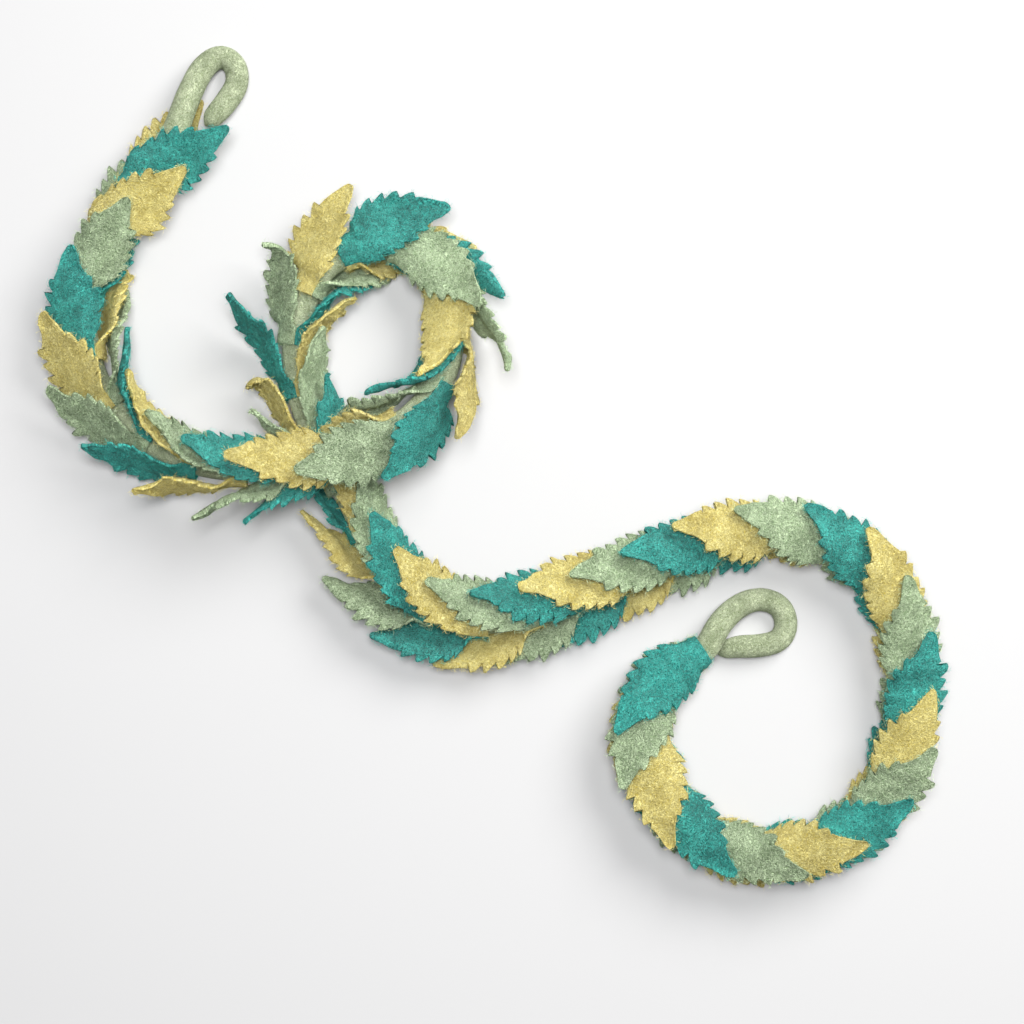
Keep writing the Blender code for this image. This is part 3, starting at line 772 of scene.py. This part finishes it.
def rope_rings(rope, line, along, ends):
    """Rings of points round the rope's line, in millimetres."""
    centre, share = line[:, :3], line[:, 3]
    way = np.gradient(centre, axis=0)
    side = unit(np.cross(unit(way), (0.0, 0.0, 1.0)))
    up = np.cross(side, unit(way))
    angle = np.linspace(0.0, 2.0 * math.pi, ROPE_SIDES + 1)
    u, v = np.meshgrid(along, angle * ROPE_RADIUS, indexing="ij")
    waves = soft_waves(np.random.default_rng(ROPE_SEED), u, v, ROPE_UNEVEN)
    radius = ROPE_RADIUS * share[:, None] * (1.0 + waves)
    radius *= 1.0 - CROSSING_NARROWS * near_crossing(centre[:, :2])[:, None]
    radius *= np.sqrt(np.clip(ends / ROPE_END, ROPE_END_SHARE, 1.0))[:, None]
    around = np.cos(angle)[None, :, None] * side[:, None] + np.sin(angle)[None, :, None] * up[:, None]
    points = (centre[:, None] + radius[..., None] * around)[:, :-1]
    roots = root_places(rope)
    first = int(np.abs(centre - rope.centre(0.0)).sum(1).argmin())
    for ring in range(len(centre)):
        station = int(np.abs(roots - (along[ring] - along[first])).argmin())
        points[ring] = cross_over(points[ring], station)
    points[..., 2] = np.maximum(points[..., 2], LEAST_HEIGHT)
    return points


def make_rope(rope, material):
    """The felted rope with its two loops, as one piece."""
    line, along = rope_line(rope)
    ends = np.minimum(along, along[-1] - along)
    points = rope_rings(rope, line, along, ends).reshape(-1, 3)
    rings, sides = len(along), ROPE_SIDES
    faces, flat = [], []
    for i in range(rings - 1):
        for j in range(sides):
            k = (j + 1) % sides
            faces.append((i * sides + j, i * sides + k, (i + 1) * sides + k, (i + 1) * sides + j))
            flat += [(along[i], j), (along[i], j + 1), (along[i + 1], j + 1), (along[i + 1], j)]
    faces.append(tuple(range(sides))[::-1])
    faces.append(tuple((rings - 1) * sides + j for j in range(sides)))
    flat += [(0.0, j) for j in range(sides)] + [(along[-1], j) for j in range(sides)]
    flat = np.array(flat) / PATTERN_UNIT * (1.0, 2.0 * math.pi * ROPE_RADIUS / sides)
    mesh = new_mesh("felt_rope", points, faces, flat)
    hairy = np.clip((LOOP_LENGTH - ends) / LOOP_FADES, HIDDEN_ROPE_HAIR, 1.0)
    mark_cloth(mesh, ROPE_TONE, ROPE_CUT_FROM, np.repeat(hairy, sides))
    return add_piece(mesh.name, mesh, material, "rope", "rope_core", "loop_a", "loop_b")


def fibre_shape():
    """One fibre along x, pointed at both ends and bent upwards; its length is 1."""
    thick = FIBRE_THICK / FIBRE_LENGTH / 2
    points = [(end, 0.0, rise) for end, rise in enumerate(FIBRE_ENDS_RISE)]
    for k in range(FIBRE_SIDES):
        angle = 2.0 * math.pi * k / FIBRE_SIDES
        points.append((0.5, thick * math.cos(angle), FIBRE_BEND + thick * math.sin(angle)))
    faces = []
    for k in range(FIBRE_SIDES):
        a, b = 2 + k, 2 + (k + 1) % FIBRE_SIDES
        faces += [(0, b, a), (1, a, b)]
    mesh = bpy.data.meshes.new("fibre")
    mesh.from_pydata(points, [], faces)
    return bpy.data.objects.new("fibre", mesh)


def link(tree, source, target):
    tree.links.new(source, target)


def add_math(tree, operation, first, second=None):
    node = tree.nodes.new("ShaderNodeMath")
    node.operation = operation
    for slot, value in zip(node.inputs, (first, second)):
        if isinstance(value, (int, float)):
            slot.default_value = value
        elif value is not None:
            link(tree, value, slot)
    return node.outputs[0]


def add_random(tree, lows_highs, seed, kind="FLOAT"):
    """Random values between a low and a high one; each pair of them has its own seed."""
    low, high = lows_highs
    node = tree.nodes.new("FunctionNodeRandomValue")
    node.data_type = kind
    next(i for i in node.inputs if i.name == "Min" and i.enabled).default_value = low
    next(i for i in node.inputs if i.name == "Max" and i.enabled).default_value = high
    own_seed = add_math(tree, "ADD", seed, int(abs(float(np.sum(high))) * SEED_PACE) + 1)
    link(tree, own_seed, next(i for i in node.inputs if i.name == "Seed"))
    return next(o for o in node.outputs if o.enabled)


def nap_tree():
    """Geometry nodes: scatters fibres over all pieces of a collection, thickest where they are hairy."""
    tree = bpy.data.node_groups.new("Nap", "GeometryNodeTree")
    inputs = (("Felt", "Collection"), ("Fibre", "Object"), ("Fibres per area", "Float"),
              ("Length", "Float"), ("Seed", "Int"), ("Material", "Material"))
    for name, kind in inputs:
        tree.interface.new_socket(name, in_out="INPUT", socket_type="NodeSocket" + kind)
    tree.interface.new_socket("Geometry", in_out="OUTPUT", socket_type="NodeSocketGeometry")
    start = tree.nodes.new("NodeGroupInput")
    end = tree.nodes.new("NodeGroupOutput")
    seed = start.outputs["Seed"]

    felt = tree.nodes.new("GeometryNodeCollectionInfo")
    link(tree, start.outputs["Felt"], felt.inputs["Collection"])
    cloth = tree.nodes.new("GeometryNodeRealizeInstances")
    link(tree, felt.outputs[0], cloth.inputs["Geometry"])
    hairy = tree.nodes.new("GeometryNodeInputNamedAttribute")
    hairy.inputs["Name"].default_value = "hairy"
    density = add_math(tree, "MULTIPLY", hairy.outputs[0], start.outputs["Fibres per area"])
    scatter = tree.nodes.new("GeometryNodeDistributePointsOnFaces")
    link(tree, cloth.outputs[0], scatter.inputs["Mesh"])
    link(tree, density, next(i for i in scatter.inputs if i.name == "Density" and i.enabled))
    link(tree, seed, scatter.inputs["Seed"])

    stand = tree.nodes.new("FunctionNodeAlignRotationToVector")
    stand.axis = "Z"
    link(tree, scatter.outputs["Normal"], stand.inputs["Vector"])
    lean = tree.nodes.new("FunctionNodeEulerToRotation")
    angles = add_random(tree, (LEAST_FIBRE_LEAN, MOST_FIBRE_LEAN), seed, "FLOAT_VECTOR")
    link(tree, angles, lean.inputs[0])
    turned = tree.nodes.new("FunctionNodeRotateRotation")
    turned.rotation_space = "LOCAL"
    link(tree, stand.outputs[0], turned.inputs["Rotation"])
    link(tree, lean.outputs[0], turned.inputs["Rotate By"])

    fibre = tree.nodes.new("GeometryNodeObjectInfo")
    fibre.inputs["As Instance"].default_value = True
    link(tree, start.outputs["Fibre"], fibre.inputs["Object"])
    size = add_math(tree, "MULTIPLY", add_random(tree, FIBRE_SIZES, seed), start.outputs["Length"])
    place = tree.nodes.new("GeometryNodeInstanceOnPoints")
    link(tree, scatter.outputs["Points"], place.inputs["Points"])
    link(tree, fibre.outputs["Geometry"], place.inputs["Instance"])
    link(tree, turned.outputs[0], place.inputs["Rotation"])
    link(tree, size, place.inputs["Scale"])
    pale = tree.nodes.new("GeometryNodeStoreNamedAttribute")
    pale.domain = "INSTANCE"
    pale.inputs["Name"].default_value = "pale"
    link(tree, place.outputs[0], pale.inputs["Geometry"])
    link(tree, add_random(tree, (0.0, 1.0), seed), pale.inputs["Value"])

    whole = tree.nodes.new("GeometryNodeRealizeInstances")
    link(tree, pale.outputs[0], whole.inputs["Geometry"])
    finish = tree.nodes.new("GeometryNodeSetMaterial")
    link(tree, whole.outputs[0], finish.inputs["Geometry"])
    link(tree, start.outputs["Material"], finish.inputs["Material"])
    link(tree, finish.outputs[0], end.inputs["Geometry"])
    return tree


def hairy_area(pieces):
    """Area of the pieces in square metres, each face counted as often as it is hairy."""
    total = 0.0
    for piece in pieces:
        mesh = piece.data
        hairy = np.empty(len(mesh.vertices))
        mesh.attributes["hairy"].data.foreach_get("value", hairy)
        total += sum(face.area * float(hairy[list(face.vertices)].mean()) for face in mesh.polygons)
    return total


def make_nap(tree, fibre, name, pieces, count, material, seed):
    """The loose fibres on all pieces of one colour, as a plain mesh."""
    felt = bpy.data.collections.new(name + "_felt")
    for piece in pieces:
        felt.objects.link(piece)
    guide = bpy.data.objects.new("nap_guide", bpy.data.meshes.new("nap_guide"))
    bpy.context.scene.collection.objects.link(guide)
    modifier = guide.modifiers.new("Nap", "NODES")
    modifier.node_group = tree
    values = {"Felt": felt, "Fibre": fibre, "Fibres per area": count / hairy_area(pieces),
              "Length": FIBRE_LENGTH * MM, "Seed": seed, "Material": material}
    for socket in tree.interface.items_tree:
        if socket.name in values:
            modifier[socket.identifier] = values[socket.name]
    bpy.context.view_layer.update()
    finished = guide.evaluated_get(bpy.context.evaluated_depsgraph_get())
    mesh = bpy.data.meshes.new_from_object(finished)
    bpy.data.objects.remove(guide)
    bpy.data.collections.remove(felt)
    mesh.name = "nap_" + name
    for spare in ("Flat", "hairy", "cut_from"):
        if spare in mesh.attributes:
            mesh.attributes.remove(mesh.attributes[spare])
    places = np.empty(len(mesh.vertices) * 3)
    mesh.vertices.foreach_get("co", places)
    places[2::3] = np.maximum(places[2::3], LEAST_HEIGHT * MM)
    mesh.vertices.foreach_set("co", places)
    mesh.materials.clear()
    return add_piece(mesh.name, mesh, material, name)


def add_noise(tree, place, scale, detail, roughness, distortion):
    noise = tree.nodes.new("ShaderNodeTexNoise")
    noise.inputs["Scale"].default_value = scale
    noise.inputs["Detail"].default_value = detail
    noise.inputs["Roughness"].default_value = roughness
    noise.inputs["Distortion"].default_value = distortion
    link(tree, place, noise.inputs["Vector"])
    return noise.outputs["Fac"]


def add_ramp(tree, value, start, full):
    """From 0 at one value to 1 at another."""
    ramp = tree.nodes.new("ShaderNodeMapRange")
    ramp.inputs["From Min"].default_value = start
    ramp.inputs["From Max"].default_value = full
    link(tree, value, ramp.inputs["Value"])
    return ramp


def fibre_layer(tree, place, scale, distortion, width):
    """Curly fibres: the thin places where a warped noise passes through its middle value."""
    noise = add_noise(tree, place, scale, FIBRE_DETAIL, FIBRE_ROUGHNESS, distortion)
    off = add_math(tree, "ABSOLUTE", add_math(tree, "SUBTRACT", noise, 0.5))
    ramp = add_ramp(tree, off, 0.0, width)
    ramp.interpolation_type = "SMOOTHSTEP"
    ramp.inputs["To Min"].default_value = 1.0
    ramp.inputs["To Max"].default_value = 0.0
    return ramp.outputs["Result"]


def felt_fibres_group():
    """Group: from a place on the flat felt to fibre, shadow, cloud and height masks."""
    tree = bpy.data.node_groups.new("Felt fibres", "ShaderNodeTree")
    for name in ("Place", "Cut from"):
        tree.interface.new_socket(name, in_out="INPUT", socket_type="NodeSocketVector")
    for name in ("Fibre", "Shadow", "Cloud", "Height"):
        tree.interface.new_socket(name, in_out="OUTPUT", socket_type="NodeSocketFloat")
    start = tree.nodes.new("NodeGroupInput")
    end = tree.nodes.new("NodeGroupOutput")
    add = tree.nodes.new("ShaderNodeVectorMath")
    add.operation = "ADD"
    link(tree, start.outputs["Place"], add.inputs[0])
    link(tree, start.outputs["Cut from"], add.inputs[1])
    place = add.outputs[0]
    coarse = fibre_layer(tree, place, *COARSE_FIBRES)
    fine = fibre_layer(tree, place, *FINE_FIBRES)
    shadow = add_ramp(tree, add_noise(tree, place, *HOLLOW_NOISE), *HOLLOW_RANGE).outputs["Result"]
    cloud = add_ramp(tree, add_noise(tree, place, *CLOUD_NOISE), *CLOUD_RANGE).outputs["Result"]
    fibre = add_math(tree, "MAXIMUM", coarse, add_math(tree, "MULTIPLY", fine, FINE_SHARE))
    height = add_math(tree, "SUBTRACT", fibre, add_math(tree, "MULTIPLY", shadow, HOLLOW_SINKS))
    for name, value in (("Fibre", fibre), ("Shadow", shadow), ("Cloud", cloud), ("Height", height)):
        link(tree, value, end.inputs[name])
    return tree


def mix_colour(tree, factor, first, second):
    node = tree.nodes.new("ShaderNodeMix")
    node.data_type = "RGBA"
    link(tree, factor, node.inputs["Factor"])
    for slot, value in ((node.inputs["A"], first), (node.inputs["B"], second)):
        if isinstance(value, tuple):
            slot.default_value = (*value, 1.0)
        else:
            link(tree, value, slot)
    return node.outputs["Result"]


def add_attribute(tree, name):
    node = tree.nodes.new("ShaderNodeAttribute")
    node.attribute_name = name
    return node


def new_material(name, roughness, shine):
    material = bpy.data.materials.new(name)
    material.use_nodes = True
    shader = material.node_tree.nodes["Principled BSDF"]
    shader.inputs["Roughness"].default_value = roughness
    shader.inputs["Specular IOR Level"].default_value = shine
    return material, material.node_tree, shader


def felt_material(name, fibres):
    pale, main, deep = FELT_COLOURS[name]
    material, tree, shader = new_material(name + "_felt_cloth", *FELT_SURFACE)
    uv = tree.nodes.new("ShaderNodeUVMap")
    uv.uv_map = "Flat"
    masks = tree.nodes.new("ShaderNodeGroup")
    masks.node_tree = fibres
    link(tree, uv.outputs["UV"], masks.inputs["Place"])
    link(tree, add_attribute(tree, "cut_from").outputs["Vector"], masks.inputs["Cut from"])
    own = add_math(tree, "MULTIPLY", add_attribute(tree, "tone").outputs["Fac"], OWN_DEPTH)
    cloud = add_math(tree, "ADD", add_math(tree, "MULTIPLY", masks.outputs["Cloud"], CLOUD_DEPTH), own)
    clouded = tuple((1.0 - CLOUD_DEEP) * m + CLOUD_DEEP * d for m, d in zip(main, deep))
    base = mix_colour(tree, cloud, main, clouded)
    # Painted shade: the hollows darken towards the deep colour
    hollow = add_math(tree, "MULTIPLY", masks.outputs["Shadow"], PAINTED_HOLLOW_SHADE)
    shaded = mix_colour(tree, hollow, base, deep)
    # Pale fibres: partly the felt's own paler fibres, partly painted highlight where they catch light;
    # clouds hide them
    hidden = add_math(tree, "MULTIPLY", masks.outputs["Cloud"], CLOUD_HIDES)
    shown = add_math(tree, "MULTIPLY", masks.outputs["Fibre"], PALE_FIBRES_AND_HIGHLIGHT)
    bright = add_math(tree, "MULTIPLY", shown, add_math(tree, "SUBTRACT", 1.0, hidden))
    link(tree, mix_colour(tree, bright, shaded, pale), shader.inputs["Base Color"])
    shader.inputs["Sheen Weight"].default_value = FELT_SHEEN
    shader.inputs["Sheen Roughness"].default_value = SHEEN_ROUGHNESS
    bump = tree.nodes.new("ShaderNodeBump")
    bump.inputs["Strength"].default_value = FELT_BUMP
    bump.inputs["Distance"].default_value = FELT_RELIEF
    link(tree, masks.outputs["Height"], bump.inputs["Height"])
    link(tree, bump.outputs["Normal"], shader.inputs["Normal"])
    return material


def nap_material(name):
    pale, main, _ = FELT_COLOURS[name]
    material, tree, shader = new_material(name + "_nap", *NAP_SURFACE)
    shade = add_attribute(tree, "pale").outputs["Fac"]
    link(tree, mix_colour(tree, shade, main, pale), shader.inputs["Base Color"])
    return material


def make_floor():
    mesh = bpy.data.meshes.new("floor")
    corners = ((-1, -1), (1, -1), (1, 1), (-1, 1))
    points = [(x * FLOOR_REACH, y * FLOOR_REACH, -FLOOR_DROP) for x, y in corners]
    mesh.from_pydata(points, [], [(0, 1, 2, 3)])
    floor = bpy.data.objects.new("floor", mesh)
    bpy.context.scene.collection.objects.link(floor)
    material, _, shader = new_material("pale_floor", *FLOOR_SURFACE)
    shader.inputs["Base Color"].default_value = FLOOR_COLOUR
    mesh.materials.append(material)


def make_camera():
    data = bpy.data.cameras.new("camera")
    data.lens = LENS
    data.sensor_width = SENSOR
    data.clip_end = SEES_TO
    camera = bpy.data.objects.new("camera", data)
    camera.location = (CAMERA_AT[0] * MM, CAMERA_AT[1] * MM, FRAME_WIDTH * LENS / SENSOR)
    bpy.context.scene.collection.objects.link(camera)
    bpy.context.scene.camera = camera


def make_light():
    world = bpy.data.worlds.new("studio")
    world.use_nodes = True
    sky = world.node_tree.nodes["Background"]
    sky.inputs["Color"].default_value = SKY_COLOUR
    sky.inputs["Strength"].default_value = SKY_STRENGTH
    bpy.context.scene.world = world
    for name, place, size, power, colour in LIGHTS:
        data = bpy.data.lights.new(name, "AREA")
        data.shape = "DISK"
        data.size = size
        data.energy = power
        data.color = colour
        light = bpy.data.objects.new(name, data)
        light.location = place
        light.rotation_euler = (-Vector(place)).to_track_quat("-Z", "Y").to_euler()
        bpy.context.scene.collection.objects.link(light)
    bpy.context.scene.view_settings.view_transform = "Standard"


make_camera()
make_floor()
make_light()

felt_fibres = felt_fibres_group()
felts = {name: felt_material(name, felt_fibres) for name in FELT_COLOURS}
garland = Rope(ROUTE)
felt_pieces = {"rope": [make_rope(garland, felts["rope"])], "teal": [], "mustard": [], "sage": []}
for at in range(STATIONS):
    for in_row in (1, 2):
        leaf_colour, leaf = make_leaf(garland, at, in_row, felts)
        felt_pieces[leaf_colour].append(leaf)

nap = nap_tree()
one_fibre = fibre_shape()
for number, (felt_colour, pieces_of_it) in enumerate(felt_pieces.items()):
    fibres = FIBRES_ON_ROPE if felt_colour == "rope" else FIBRES_PER_LEAF * len(pieces_of_it)
    make_nap(nap, one_fibre, felt_colour, pieces_of_it, fibres, nap_material(felt_colour), number)
bpy.data.objects.remove(one_fibre)
